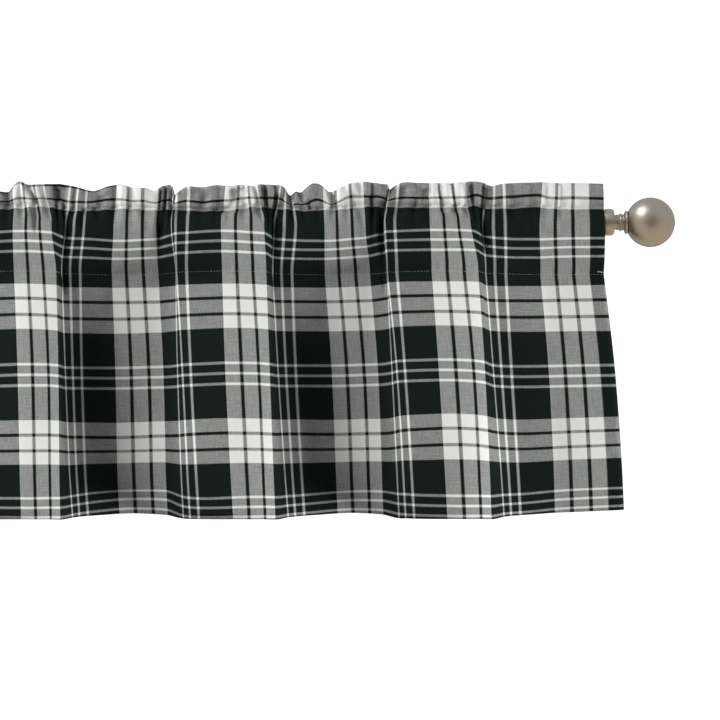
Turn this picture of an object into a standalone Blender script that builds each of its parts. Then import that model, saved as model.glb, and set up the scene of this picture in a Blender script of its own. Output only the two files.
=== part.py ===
"""A rod-pocket window valance, gathered on its curtain rod.

One length of plaid cloth, 1524 mm wide before it is gathered, is folded over at the top and stitched
twice: the upper line parts the upright heading from the pocket, and the lower line closes the pocket.
A 1 inch rod goes through the pocket, and at each end an end cap, a ribbed neck and a ball close it.

Metres, +X to the right, -Y towards the room, +Z up. The origin is on the rod's axis at mid-length.
The tables below are in millimetres.
"""

import math
from collections import namedtuple

import bmesh
import bpy
import numpy as np

MM = 0.001

# The cloth, flat, before it is gathered
FLAT_WIDTH = 1524.0  # 60 in, side hem to side hem
HEADING = 27.5  # top fold to the upper stitch line
SKIRT = 254.5  # lower stitch line to the hem
CLOTH = 1.2  # thickness of one layer

# The rod and its ends
ROD_DIAMETER = 25.4
ROD_WALL = 1.2
CAP_START = 536.2  # the end cap's open edge, from mid-length
CAP_LENGTH = 9.4
CAP_DIAMETER = 27.8
CAP_BASE = 1.8
NECK_LENGTH = 11.6
NECK_DIAMETER = 16.4
RING_DIAMETER = 18.2
RING_COUNT = 4
SEAT_DIAMETER = 23.8
SEAT_LENGTH = 2.6
BALL_DIAMETER = 50.8
GAP = 0.3  # between pieces that touch
ROUND_STEPS = 28

# One pleat, two repeats of the plaid wide, as the cloth runs from left to right. "side" is -1 where it
# falls away from the room, 1 where it comes out, and 0 where it faces the room. The last three columns
# say how far a section reaches across for each millimetre of its cloth: at the pocket's lower stitch
# line, at the knee and at the hem.
Section = namedtuple("Section", "name flat side pocket knee hem")
PLEAT = (
    Section("crest", 16.9, 0, 0.90, 0.99, 1.00),
    Section("roll", 19.0, -1, 0.88, 0.94, 0.86),
    Section("shoulder", 16.9, -1, 0.86, 0.69, 0.60),
    Section("right wall", 40.9, -1, 0.12, 0.16, 0.29),
    Section("foot", 12.4, -1, 0.80, 0.74, 0.61),
    Section("toe", 12.4, -1, 0.90, 0.83, 0.77),
    Section("back slope", 40.8, -1, 0.84, 0.92, 0.86),
    Section("floor", 16.9, 0, 0.88, 0.95, 0.97),
    Section("floor edge", 19.0, 1, 0.93, 0.97, 0.94),
    Section("rise", 16.9, 1, 0.93, 0.92, 0.88),
    Section("left wall", 40.9, 1, 0.45, 0.37, 0.38),
    Section("lip", 12.4, 1, 0.05, 0.34, 0.54),
    Section("turn", 12.4, 1, 0.77, 0.70, 0.71),
    Section("front slope", 40.8, 1, 0.88, 0.86, 0.82),
)
PLEAT_COUNT = 3  # whole pleats between the two ends
VALLEY_START = 7  # the row of PLEAT at which a valley's light band starts
LEFT_END = (
    Section("end panel", 75.2, 0, 0.95, 0.98, 1.00),
    Section("end slope", 106.5, -1, 0.72, 0.80, 0.86),
)
RIGHT_END = (Section("end panel", 68.2, 0, 0.96, 0.99, 1.00),)

# Where the folds stand: "x" across and "y" from the rod's axis (less than 0 is towards the room), each at
# the pocket's lower stitch line, at the knee and at the hem. "flat" is the place on the flat cloth.
Fold = namedtuple("Fold", "name flat x y")
FOLDS = (
    Fold("left edge", 0.0, (-535.4, -543.0, -555.0), (5.0, 8.0, 14.0)),
    Fold("left end", 75.2, (-465.0, -470.0, -480.5), (3.0, 4.0, 8.0)),
    Fold("valley 1", 181.7, (-386.0, -388.0, -391.0), (14.0, 27.0, 36.0)),
    Fold("crest 1", 341.0, (-277.0, -275.0, -276.0), (-21.0, -34.0, -42.0)),
    Fold("valley 2", 500.3, (-181.0, -179.0, -176.0), (15.0, 27.0, 39.0)),
    Fold("crest 2", 659.6, (-66.9, -63.1, -59.2), (-22.0, -36.0, -44.0)),
    Fold("valley 3", 818.9, (29.8, 31.8, 33.5), (15.0, 27.0, 40.0)),
    Fold("crest 3", 978.2, (145.2, 148.2, 155.3), (-22.0, -36.0, -45.0)),
    Fold("valley 4", 1137.5, (249.3, 255.0, 260.6), (15.0, 28.0, 41.0)),
    Fold("crest 4", 1296.8, (358.3, 363.8, 372.4), (-22.0, -35.0, -42.0)),
    Fold("valley 5", 1456.0, (471.0, 478.8, 488.6), (12.0, 24.0, 38.0)),
    Fold("right edge", FLAT_WIDTH, (535.8, 546.4, 561.2), (8.0, 20.0, 42.0)),
)
KNEE_DROP = 80.0  # the knee's place below the lower stitch line, along the cloth
DEPTH_SHARE = (0.40, 0.65, 1.0)  # the rest of a fold's depth goes into fine gathers
FOLD_ROUNDING = 4.0  # how far a fold's turn is rounded off, along the cloth
HEM_CURL = 11.0  # how far the hem kicks back, towards the window
HEM_CURL_VALLEY = 8.0  # and how much further in a valley
HEM_CURL_FROM = 0.76  # the share of the skirt's length at which the kick starts

# The pocket's front and back layers between the stitch lines, 79 mm apart along the cloth, as (y, z)
# across the rod: at a crest the front layer blouses out, and in a valley it lies on the rod. The first
# row is the upper stitch line and the last row is the lower one.
Layer = namedtuple("Layer", "crest valley")
POCKET_FRONT = (
    Layer((-3.0, 15.6), (-3.0, 15.6)),
    Layer((-16.0, 14.0), (-11.2, 10.2)),
    Layer((-27.5, 5.5), (-14.5, -0.6)),
    Layer((-31.0, -9.0), (-12.6, -14.0)),
    Layer((-29.0, -30.0), (-2.5, -34.0)),
    Layer((-22.0, -50.5), (15.0, -53.5)),
)
POCKET_BACK = (
    Layer((-3.0, 15.6), (-3.0, 15.6)),
    Layer((10.0, 13.2), (10.2, 13.4)),
    Layer((16.0, -2.0), (17.0, -2.0)),
    Layer((6.5, -27.0), (18.0, -28.0)),
    Layer((-22.0, -50.5), (15.0, -53.5)),
)

# The heading stands up in soft scallops. At each dip it folds back and its top edge drops.
Dip = namedtuple("Dip", "flat drop reach")
DIPS = (
    Dip(96.0, 3.0, 17.0),
    Dip(214.0, 6.0, 16.0),
    Dip(292.0, 8.0, 15.0),
    Dip(352.0, 5.0, 14.0),
    Dip(458.0, 6.0, 16.0),
    Dip(541.0, 5.0, 14.0),
    Dip(612.0, 8.0, 15.0),
    Dip(662.0, 8.0, 13.0),
    Dip(789.0, 5.0, 22.0),
    Dip(872.0, 5.0, 14.0),
    Dip(926.0, 9.0, 12.0),
    Dip(1094.0, 9.0, 18.0),
    Dip(1149.0, 7.0, 15.0),
    Dip(1248.0, 5.0, 14.0),
    Dip(1391.0, 3.0, 16.0),
)
HEADING_FRONT = -9.0  # y of the heading's top edge between dips
HEADING_BACK = 4.0  # and in a dip
SEAM_RIPPLE = 2.6  # how far the upper stitch line wanders from front to back

STATION_STEP = 14.0  # most cloth between two sections of the solid
SKIRT_ROWS = (0.0, 0.14, 0.32, 0.52, 0.72, 0.87, 1.0)  # shares of the skirt's length


def material(name, colour, roughness, metallic):
    made = bpy.data.materials.new(name)
    made.use_nodes = True
    shader = made.node_tree.nodes["Principled BSDF"]
    shader.inputs["Base Color"].default_value = (*colour, 1.0)
    shader.inputs["Roughness"].default_value = roughness
    shader.inputs["Metallic"].default_value = metallic
    made.diffuse_color = (*colour, 1.0)
    return made


def add_object(name, mesh, finish):
    mesh.materials.append(finish)
    placed = bpy.data.objects.new(name, mesh)
    bpy.context.scene.collection.objects.link(placed)
    return placed


# ---------------------------------------------------------------- cloth


def sections_across():
    """Every section of the cloth from its left edge to its right edge."""
    return LEFT_END + PLEAT[VALLEY_START:] + PLEAT * PLEAT_COUNT + PLEAT[:VALLEY_START] + RIGHT_END


def stations():
    """The places along the flat cloth where the solid has a section."""
    places = [0.0]
    for row in sections_across():
        steps = math.ceil(row.flat / STATION_STEP)
        places += [places[-1] + row.flat * (k + 1) / steps for k in range(steps)]
    return np.array(places) * FLAT_WIDTH / places[-1]


def rounded(values, reach):
    """Values for each millimetre of cloth, averaged over the neighbours within about this reach."""
    half = math.ceil(3 * reach)
    weights = np.exp(-0.5 * (np.arange(-half, half + 1) / reach) ** 2)
    padded = np.pad(values, half, mode="edge")
    return np.convolve(padded, weights / weights.sum(), mode="valid")


def fold_line(level):
    """The cloth's line seen from above at one level (0 pocket, 1 knee, 2 hem): x and y by millimetre."""
    rows = sections_across()
    ends = np.cumsum([row.flat for row in rows])
    middles = np.arange(int(FLAT_WIDTH)) + 0.5
    index = np.minimum(np.searchsorted(ends, middles), len(rows) - 1)
    across = np.array([row[3 + level] for row in rows])
    out = np.array([row.side for row in rows]) * np.sqrt(1 - across**2) * DEPTH_SHARE[level]
    line = []
    flat = np.arange(int(FLAT_WIDTH) + 1)
    for slope, wanted in (
        (across, [fold.x[level] for fold in FOLDS]),
        (-out, [fold.y[level] for fold in FOLDS]),
    ):
        run = np.concatenate([[0.0], np.cumsum(rounded(slope[index], FOLD_ROUNDING))])
        places = [fold.flat for fold in FOLDS]
        miss = np.array(wanted) - np.interp(places, flat, run)
        line.append(run + rounded(np.interp(flat, places, miss), FOLD_ROUNDING))
    return line


def eased(levels, curves, at):
    """The curve at one level, on a smooth course through the curves given at several levels."""
    upper = max(0, min(len(levels) - 2, int(np.searchsorted(levels, at)) - 1))
    slopes = np.gradient(np.array(curves), np.array(levels), axis=0)
    span = levels[upper + 1] - levels[upper]
    t = (at - levels[upper]) / span
    return (
        (2 * t**3 - 3 * t**2 + 1) * curves[upper]
        + (t**3 - 2 * t**2 + t) * span * slopes[upper]
        + (3 * t**2 - 2 * t**3) * curves[upper + 1]
        + (t**3 - t**2) * span * slopes[upper + 1]
    )


def heading_dips(flat):
    """How deep into a dip each place lies (0 to 1), and how far the top edge drops there."""
    inside = np.array([np.exp(-(((flat - dip.flat) / dip.reach) ** 2)) for dip in DIPS])
    drops = np.array([dip.drop for dip in DIPS])
    return inside.max(axis=0), (inside * drops[:, None]).max(axis=0)


def cloth_rows(flat):
    """The middle surface of the cloth: rows of points for the heading, the two pocket layers, the skirt."""
    lines = [fold_line(level) for level in range(3)]
    x = [np.interp(flat, np.arange(len(line[0])), line[0]) for line in lines]
    y = [np.interp(flat, np.arange(len(line[1])), line[1]) for line in lines]
    crest, valley = POCKET_FRONT[-1]
    blouse = np.clip((valley[0] - y[0]) / (valley[0] - crest[0]), 0.0, 1.0)
    inside, drop = heading_dips(flat)
    seam_y = SEAM_RIPPLE * (2 * inside - 1)

    def layer_rows(table):
        rows = []
        for k, row in enumerate(table):
            place = np.outer(1 - blouse, row.valley) + np.outer(blouse, row.crest)
            lift = 1.0 if k == 0 else 0.0
            rows.append(np.stack([x[0], place[:, 0] + lift * seam_y, place[:, 1]], axis=1))
        return rows

    front, back = layer_rows(POCKET_FRONT), layer_rows(POCKET_BACK)
    front[-1][:, 1] = y[0]
    back[-1][:, 1] = y[0]
    seam = front[0]
    top_y = HEADING_FRONT + (HEADING_BACK - HEADING_FRONT) * inside
    lean = top_y - seam[:, 1]
    rise = np.sqrt(HEADING**2 - lean**2) - drop
    top = seam + np.stack([0 * flat, lean, rise], axis=1)
    middle = seam + np.stack([0 * flat, 0.35 * lean, 0.52 * rise], axis=1)

    levels = np.array([0.0, KNEE_DROP / SKIRT, 1.0])
    skirt = [front[-1]]
    for share, above in zip(SKIRT_ROWS[1:], SKIRT_ROWS[:-1]):
        curl = max(0.0, (share - HEM_CURL_FROM) / (1 - HEM_CURL_FROM)) ** 1.6
        kick = curl * (HEM_CURL + HEM_CURL_VALLEY * (1 - blouse))
        row_x, row_y = eased(levels, x, share), eased(levels, y, share) + kick
        length = (share - above) * SKIRT
        slide = (row_x - skirt[-1][:, 0]) ** 2 + (row_y - skirt[-1][:, 1]) ** 2
        fall = np.sqrt(np.maximum(length**2 - slide, (0.6 * length) ** 2))
        skirt.append(np.stack([row_x, row_y, skirt[-1][:, 2] - fall], axis=1))
    return [top, middle, seam], front[1:-1], back[1:-1], skirt


def normals(rows):
    """Unit normals of a grid of rows, pointing away from the room where the cloth hangs straight."""
    grid = np.array(rows)
    along = np.gradient(grid, axis=1)
    down = np.gradient(grid, axis=0)
    cross = np.cross(along, down)
    return cross / np.linalg.norm(cross, axis=2, keepdims=True)


def crotch(corner, first, second):
    """The inner corner of the pocket, where its two layers meet at a stitch line."""
    to_first, to_second = first - corner, second - corner
    to_first /= np.linalg.norm(to_first, axis=1, keepdims=True)
    to_second /= np.linalg.norm(to_second, axis=1, keepdims=True)
    middle = to_first + to_second
    middle /= np.linalg.norm(middle, axis=1, keepdims=True)
    half_sine = np.linalg.norm(to_first - to_second, axis=1) / 2
    reach = 0.55 * CLOTH / np.maximum(half_sine, 0.3)
    return corner + middle * reach[:, None]


def shifted(rows, ways, distance):
    return [row + way * distance for row, way in zip(rows, ways)]


def cloth_mesh():
    flat = stations()
    heading, front, back, skirt = cloth_rows(flat)
    seam, half = heading[-1], CLOTH / 2
    heading_way = normals(heading)
    front_way = normals([seam] + front + [skirt[0]])[1:]
    back_way = normals([seam] + back + [skirt[0]])[1:]
    skirt_way = normals([front[-1]] + skirt)[1:]
    skirt_rear_rows = shifted(skirt, skirt_way, half)
    skirt_rear_rows[0] = skirt[0] + back_way[-1] * CLOTH

    shape = bmesh.new()

    def placed(rows):
        return [[shape.verts.new(point * MM) for point in row] for row in rows]

    # The heading is two layers thick, the pocket's walls and the skirt are one layer
    heading_face = placed(shifted(heading, heading_way, -CLOTH))
    heading_rear = placed(shifted(heading, heading_way, CLOTH))
    front_out = placed(shifted(front, front_way, -half))
    front_in = placed(shifted(front, front_way, half))
    back_out = placed(shifted(back, back_way, half))
    back_in = placed(shifted(back, back_way, -half))
    skirt_face = placed(shifted(skirt, skirt_way, -half))
    skirt_rear = placed(skirt_rear_rows)
    upper, lower = placed([crotch(seam, front[0], back[0]), crotch(skirt[0], front[-1], back[-1])])

    def bridge(one, two):
        for k in range(len(one) - 1):
            shape.faces.new((one[k], one[k + 1], two[k + 1], two[k]))

    # Up the face, over the top edge and down the rear, and round the inside of the pocket
    outside = (heading_face + front_out + skirt_face)[::-1] + heading_rear + back_out + skirt_rear
    inside = [upper] + front_in + [lower] + back_in[::-1]
    for loop in (outside, inside):
        for one, two in zip(loop, loop[1:] + loop[:1]):
            bridge(one, two)

    walls = (
        (heading_face, heading_rear),
        ([heading_face[-1]] + front_out + [skirt_face[0]], [upper] + front_in + [lower]),
        ([heading_rear[-1]] + back_out + [skirt_rear[0]], [upper] + back_in + [lower]),
        (skirt_face, skirt_rear),
    )
    corners = (
        (heading_face[-1], upper, heading_rear[-1]),
        (skirt_face[0], lower, skirt_rear[0]),
    )
    for end in (0, len(flat) - 1):
        for one_side, other_side in walls:
            bridge([row[end] for row in one_side], [row[end] for row in other_side])
        for corner in corners:
            shape.faces.new([row[end] for row in corner])
    bmesh.ops.triangulate(shape, faces=shape.faces)
    bmesh.ops.recalc_face_normals(shape, faces=shape.faces)
    mesh = bpy.data.meshes.new("valance")
    shape.to_mesh(mesh)
    shape.free()
    mesh.shade_smooth()
    mesh.set_sharp_from_angle(angle=math.radians(50))
    return mesh


# ---------------------------------------------------------------- rod and its ends


def turned_mesh(name, profile, side=1):
    """A piece turned about the X axis. The profile's rows are (x, radius), closed from last to first."""
    shape = bmesh.new()
    rings = []
    for x, radius in profile:
        if radius == 0.0:
            rings.append([shape.verts.new((side * x * MM, 0.0, 0.0))])
            continue
        angles = [2 * math.pi * k / ROUND_STEPS for k in range(ROUND_STEPS)]
        ring = [(side * x, radius * math.cos(a), radius * math.sin(a)) for a in angles]
        rings.append([shape.verts.new([c * MM for c in point]) for point in ring])
    closed = profile[0][1] > 0.0
    pairs = list(zip(rings, rings[1:])) + ([(rings[-1], rings[0])] if closed else [])
    for one, two in pairs:
        for k in range(ROUND_STEPS):
            after = (k + 1) % ROUND_STEPS
            if len(one) == 1:
                shape.faces.new((one[0], two[k], two[after]))
            elif len(two) == 1:
                shape.faces.new((one[k], one[after], two[0]))
            else:
                shape.faces.new((one[k], one[after], two[after], two[k]))
    bmesh.ops.recalc_face_normals(shape, faces=shape.faces)
    mesh = bpy.data.meshes.new(name)
    shape.to_mesh(mesh)
    shape.free()
    mesh.shade_smooth()
    mesh.set_sharp_from_angle(angle=math.radians(35))
    return mesh


def rod_profile():
    reach = CAP_START + CAP_LENGTH - CAP_BASE - GAP
    outer = ROD_DIAMETER / 2
    inner = outer - ROD_WALL
    return ((-reach, inner), (-reach, outer), (reach, outer), (reach, inner))


def cap_profile():
    start, end = CAP_START, CAP_START + CAP_LENGTH
    outer, bore = CAP_DIAMETER / 2, ROD_DIAMETER / 2 + GAP
    floor = end - CAP_BASE
    return (
        (floor, 0.0),
        (floor, bore),
        (start, bore),
        (start, outer - 0.4),
        (start + 0.6, outer),
        (end - 1.6, outer),
        (end - 0.5, outer - 1.0),
        (end, outer - 2.2),
        (end, 0.0),
    )


def neck_start():
    return CAP_START + CAP_LENGTH + GAP


def ball_centre():
    return neck_start() + NECK_LENGTH + BALL_DIAMETER / 2


def ball_seat_rows():
    """The hollow of the seat, a little larger than the ball, from its rim down to the axis."""
    radius = BALL_DIAMETER / 2 + GAP
    rim = math.asin(0.44)
    steps = 4
    angles = [rim * (steps - k) / steps for k in range(steps + 1)]
    return [(ball_centre() - radius * math.cos(a), radius * math.sin(a)) for a in angles]


def neck_profile():
    """A ribbed neck that opens into a shallow cup under the ball."""
    start = neck_start()
    core, ring = NECK_DIAMETER / 2, RING_DIAMETER / 2
    ribbed = NECK_LENGTH - 1.6
    pitch = ribbed / RING_COUNT
    rows = [(start, 0.0)]
    for k in range(RING_COUNT):
        left = start + k * pitch
        rows += [
            (left, core),
            (left + 0.25 * pitch, ring),
            (left + 0.75 * pitch, ring),
        ]
    seat = SEAT_DIAMETER / 2
    rows += [
        (start + ribbed, core),
        (start + NECK_LENGTH - 0.8, seat - 1.2),
        (start + NECK_LENGTH, seat),
        (start + NECK_LENGTH + SEAT_LENGTH - 0.6, seat),
    ]
    hollow = ball_seat_rows()
    hollow[-1] = (hollow[-1][0], 0.0)
    return rows + hollow


def ball_profile():
    radius, steps = BALL_DIAMETER / 2, ROUND_STEPS // 2
    rows = []
    for k in range(steps + 1):
        angle = math.pi * k / steps
        away = 0.0 if k in (0, steps) else radius * math.sin(angle)
        rows.append((ball_centre() - radius * math.cos(angle), away))
    return rows


def build():
    for old in list(bpy.data.objects):
        bpy.data.objects.remove(old, do_unlink=True)
    plaid = material("plaid cotton", (0.16, 0.165, 0.16), 0.9, 0.0)
    nickel = material("brushed nickel", (0.42, 0.40, 0.37), 0.35, 1.0)
    add_object("valance", cloth_mesh(), plaid)
    add_object("rod", turned_mesh("rod", rod_profile()), nickel)
    for word, side in (("right", 1), ("left", -1)):
        for piece, profile in (
            ("end_cap", cap_profile()),
            ("finial_neck", neck_profile()),
            ("finial_ball", ball_profile()),
        ):
            name = f"{piece}_{word}"
            add_object(name, turned_mesh(name, profile, side), nickel)


build()
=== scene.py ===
"""A rod-pocket window valance, gathered on a 1 inch curtain rod with a ball at each end.

Metres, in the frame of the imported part: +X to the right, -Y towards the room, +Z up, with the origin on
the rod's axis at mid-length. The tables below are in millimetres.
"""

import math
from collections import namedtuple

import bpy
import numpy as np
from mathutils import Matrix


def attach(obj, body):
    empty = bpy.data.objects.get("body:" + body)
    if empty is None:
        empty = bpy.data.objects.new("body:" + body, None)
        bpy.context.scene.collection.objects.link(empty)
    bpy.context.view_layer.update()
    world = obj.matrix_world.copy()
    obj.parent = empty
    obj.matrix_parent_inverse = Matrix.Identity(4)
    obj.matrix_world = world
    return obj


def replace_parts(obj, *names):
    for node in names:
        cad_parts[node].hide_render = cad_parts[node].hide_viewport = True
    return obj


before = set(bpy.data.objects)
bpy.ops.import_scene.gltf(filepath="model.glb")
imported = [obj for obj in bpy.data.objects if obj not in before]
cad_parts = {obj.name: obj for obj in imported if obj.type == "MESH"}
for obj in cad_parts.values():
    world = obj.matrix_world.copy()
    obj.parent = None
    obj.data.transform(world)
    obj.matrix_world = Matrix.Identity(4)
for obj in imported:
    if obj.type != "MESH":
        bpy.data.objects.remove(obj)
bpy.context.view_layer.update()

# ---------------------------------------------------------------- camera
# Level, three metres in front of the right half of the valance, with a long lens. The valance runs out
# of view on the left, and its rod ends in a ball on the right.
CAMERA_PLACE = (0.2855, -3.0, -0.1411)
CAMERA_LENS = 146.35
SENSOR_WIDTH = 36.0


def in_scene(name, data):
    """A new object with this mesh, curve, light or camera, linked to the scene."""
    made = bpy.data.objects.new(name, data)
    bpy.context.scene.collection.objects.link(made)
    return made


camera_data = bpy.data.cameras.new("camera")
camera_data.lens = CAMERA_LENS
camera_data.sensor_width = SENSOR_WIDTH
camera = in_scene("camera", camera_data)
camera.location = CAMERA_PLACE
camera.rotation_euler = (math.pi / 2, 0.0, 0.0)
bpy.context.scene.camera = camera

# ---------------------------------------------------------------- the cloth's folds
# One length of yarn-dyed cotton twill, gathered on the rod to about 0.7 of its width. It hangs in deep
# soft pleats that lean over to the right, and every pleat takes two repeats of the plaid.
MM = 0.001
FLAT_WIDTH = 1524.0
HEADING = 27.5  # top fold to the upper stitch line
POCKET = 79.0  # upper to lower stitch line
SKIRT = 253.0  # lower stitch line to the hem
KNEE_DROP = 80.0
DEPTH_SHARE = (0.40, 0.65, 1.0)
FOLD_ROUNDING = 3.0
HEM_CURL = 5.0
HEM_CURL_VALLEY = 14.0
HEM_CURL_FROM = 0.76
HEM_CURL_POWER = 1.6

# "side" is -1 where a section falls away from the room and 1 where it comes out. The last columns are the
# reach across for each millimetre of cloth, at the lower stitch line, at the knee and at the hem.
Section = namedtuple("Section", "name flat side pocket knee hem")
PLEAT = (
    Section("crest", 16.9, 0, 0.90, 0.99, 1.00),
    Section("roll", 19, -1, 0.88, 0.94, 0.86),
    Section("shoulder", 16.9, -1, 0.86, 0.69, 0.60),
    Section("right wall", 40.9, -1, 0.12, 0.16, 0.29),
    Section("foot", 12.4, -1, 0.80, 0.74, 0.61),
    Section("toe", 12.4, -1, 0.90, 0.83, 0.77),
    Section("back slope", 40.8, -1, 0.84, 0.92, 0.86),
    Section("floor", 16.9, 0, 0.88, 0.95, 0.97),
    Section("floor edge", 19, 1, 0.93, 0.97, 0.94),
    Section("rise", 16.9, 1, 0.93, 0.92, 0.88),
    Section("left wall", 40.9, 1, 0.45, 0.37, 0.38),
    Section("lip", 12.4, 1, -0.12, 0.30, 0.54),
    Section("turn", 12.4, 1, 0.94, 0.74, 0.71),
    Section("front slope", 40.8, 1, 0.88, 0.86, 0.82),
)
PLEAT_COUNT = 3
VALLEY_START = 7
LEFT_END = (
    Section("end panel", 75.2, 0, 0.95, 0.98, 1.00),
    Section("end slope", 106.5, -1, 0.72, 0.80, 0.86),
)
RIGHT_END = (Section("end panel", 68.2, 0, 0.96, 0.99, 1.00),)

# Where the folds stand, at the lower stitch line, at the knee and at the hem
Fold = namedtuple("Fold", "name flat x y")
FOLDS = (
    Fold("left edge", 0, (-535.4, -543, -555), (5, 8, 14)),
    Fold("left end", 75.2, (-465, -470, -480.5), (3, 4, 8)),
    Fold("valley 1", 181.7, (-386, -388, -391), (14, 25, 31)),
    Fold("crest 1", 341, (-277, -275, -276), (-21, -34, -42)),
    Fold("valley 2", 500.3, (-181, -179, -176), (15, 25.5, 33)),
    Fold("crest 2", 659.6, (-66.4, -61.8, -57), (-22, -36, -44)),
    Fold("valley 3", 818.9, (29.8, 31.8, 34.5), (15, 25.5, 33)),
    Fold("crest 3", 978.2, (145.2, 148.2, 157.3), (-22, -36, -45)),
    Fold("valley 4", 1137.5, (249.3, 255, 262.2), (15, 26, 33.5)),
    Fold("crest 4", 1296.8, (358.3, 363.8, 374), (-22, -35, -42)),
    Fold("valley 5", 1456, (471, 478.8, 488.6), (12, 23, 34)),
    Fold("right edge", FLAT_WIDTH, (535.8, 546.4, 561.2), (8, 20, 42)),
)

# The pocket's front and back layers as (y, z) across the rod, at a crest and in a valley
Layer = namedtuple("Layer", "crest valley")
POCKET_FRONT = (
    Layer((-8.5, 15.2), (-8.5, 15.2)),
    Layer((-11.5, 11), (-11.5, 10.2)),
    Layer((-22, 7.2), (-14.6, -1)),
    Layer((-30.5, -6), (-12.8, -14)),
    Layer((-29.5, -29), (-2.5, -34)),
    Layer((-22, -50.5), (15, -53.5)),
)
POCKET_BACK = (
    Layer((-7.5, 15.2), (-7.5, 15.2)),
    Layer((3, 15.8), (3, 15.8)),
    Layer((12, 11), (12.2, 11.2)),
    Layer((16, -2), (17, -2)),
    Layer((6.5, -27), (18, -28)),
    Layer((-22, -50.5), (15, -53.5)),
)


def table(columns, *rows):
    """Rows of numbers with a name for each column."""
    return [namedtuple("Row", columns)._make(row) for row in rows]


# How far the cloth is shifted sideways, against its place at the lower stitch line, at the heading's top
# edge and in the pocket in front of the rod
SHIFTS = table(
    "flat top pocket",
    (0, 1, 0),
    (60, -4, -2),
    (118, 6, 3),
    (182, -3, -1),
    (236, -9, -4),
    (292, 7, 3),
    (341, 2, 0),
    (394, -8, -3),
    (436, 6, 3),
    (478, 3, 3),
    (540, -3, -2),
    (596, 5, 1),
    (659.6, -3.2, 0),
    (712.4, -14.4, -4.5),
    (753.3, 11.9, 6.2),
    (778, 7.6, 6.1),
    (818.9, 7.8, 4.2),
    (846, 0.5, 1.5),
    (871.7, 1.1, -0.5),
    (912.6, -4.3, -4.8),
    (931, 1.7, 2),
    (978.2, 2.7, -0.8),
    (995, 2.1, -1.1),
    (1031, -11.1, -2),
    (1071.9, 10.5, 2.3),
    (1096.7, -1.3, 4.9),
    (1137.5, -1.5, 0),
    (1190, -7.8, -5),
    (1228, 1, -3.6),
    (1243.6, 2.6, -2.4),
    (1296.8, -1.7, -2),
    (1313.7, -9.2, -3.3),
    (1349.6, -13.7, -9),
    (1390.5, 1.6, -3.4),
    (1415.3, -3.3, -1.4),
    (1456, 1.1, -2.6),
    (1492, -2.5, -2.8),
    (FLAT_WIDTH, -2, -0.5),
)

# The heading stands up from the seam, first a little forward. Rows of (y, z) from the seam.
HEADING_PATH = ((0.0, 0.0), (-3.0, 3.2), (-4.6, 8.6), (-4.2, 16.0), (-2.4, 25.2))

# Heights above the rod's axis of the heading's top edge and of the seam, which wanders over the rod
LEVELS = table(
    "flat top seam",
    (0, 38.4, 15),
    (60, 38.9, 16.5),
    (110, 38.9, 14),
    (160, 38.4, 17.5),
    (210, 37.9, 13.5),
    (250, 37.9, 16),
    (300, 37.9, 13),
    (345, 38.4, 18),
    (390, 38.9, 18.5),
    (430, 38.4, 14),
    (470, 37.9, 15.5),
    (520, 37.9, 13),
    (560, 37.9, 16.5),
    (610, 37.7, 14.5),
    (644, 32.2, 18),
    (655, 35.8, 18.2),
    (668, 43.5, 18.4),
    (682, 37, 18.6),
    (706, 38.1, 19),
    (735, 37.8, 15),
    (760, 36, 12.8),
    (775, 35.3, 13.3),
    (788, 36.8, 13.7),
    (812, 37.4, 14.5),
    (827, 38.2, 15.7),
    (840, 36.6, 16.8),
    (860, 36.3, 14.2),
    (872, 38, 14.8),
    (890, 35.9, 15.8),
    (911, 38.3, 15),
    (925, 35.1, 14.5),
    (927, 34.1, 14.4),
    (933, 36.4, 13.9),
    (955, 36.2, 12.4),
    (970, 37.7, 13),
    (982, 35.3, 13.4),
    (992, 36.8, 14.6),
    (1020, 37.5, 18.6),
    (1031, 38.3, 18),
    (1060, 37.1, 16.5),
    (1092, 37.7, 16.3),
    (1102, 33.4, 14.9),
    (1112, 37.4, 13.6),
    (1134, 41.2, 14.4),
    (1156, 37.1, 15.3),
    (1190, 40.8, 17.3),
    (1226, 37.9, 17.8),
    (1240, 37.8, 18),
    (1250, 41.1, 17.8),
    (1262, 40, 17.5),
    (1285, 39.2, 17),
    (1332, 38.9, 17.5),
    (1345, 39.9, 17.6),
    (1372, 41, 16.2),
    (1392, 40.4, 16),
    (1400, 38.9, 15.9),
    (1440, 39.5, 16.3),
    (1456, 40.1, 17.2),
    (1472, 39, 15.3),
    (FLAT_WIDTH, 38.8, 15.2),
)

# The heading's dips: how far its top edge drops there, how wide a dip is and how far it folds back
DIPS = table(
    "flat drop reach back",
    (96, 4, 15, 9),
    (214, 7, 12, 12),
    (292, 6, 13, 10),
    (352, 5, 12, 8),
    (458, 7, 11, 12),
    (541, 5, 12, 8),
    (612, 8, 10, 12),
    (653, 4, 12, 10),
    (788, 5.5, 16, 6),
    (850, 2.5, 16, 2),
    (868, 6, 9, 6),
    (921, 9, 8, 12),
    (950, 1.5, 16, 2),
    (1022, 1.5, 10, 3),
    (1093, 10, 10, 12),
    (1110, 6.5, 9, 6),
    (1147, 9, 12, 8),
    (1246, 6, 9, 12),
    (1396, 3, 14, 6),
)

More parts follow.
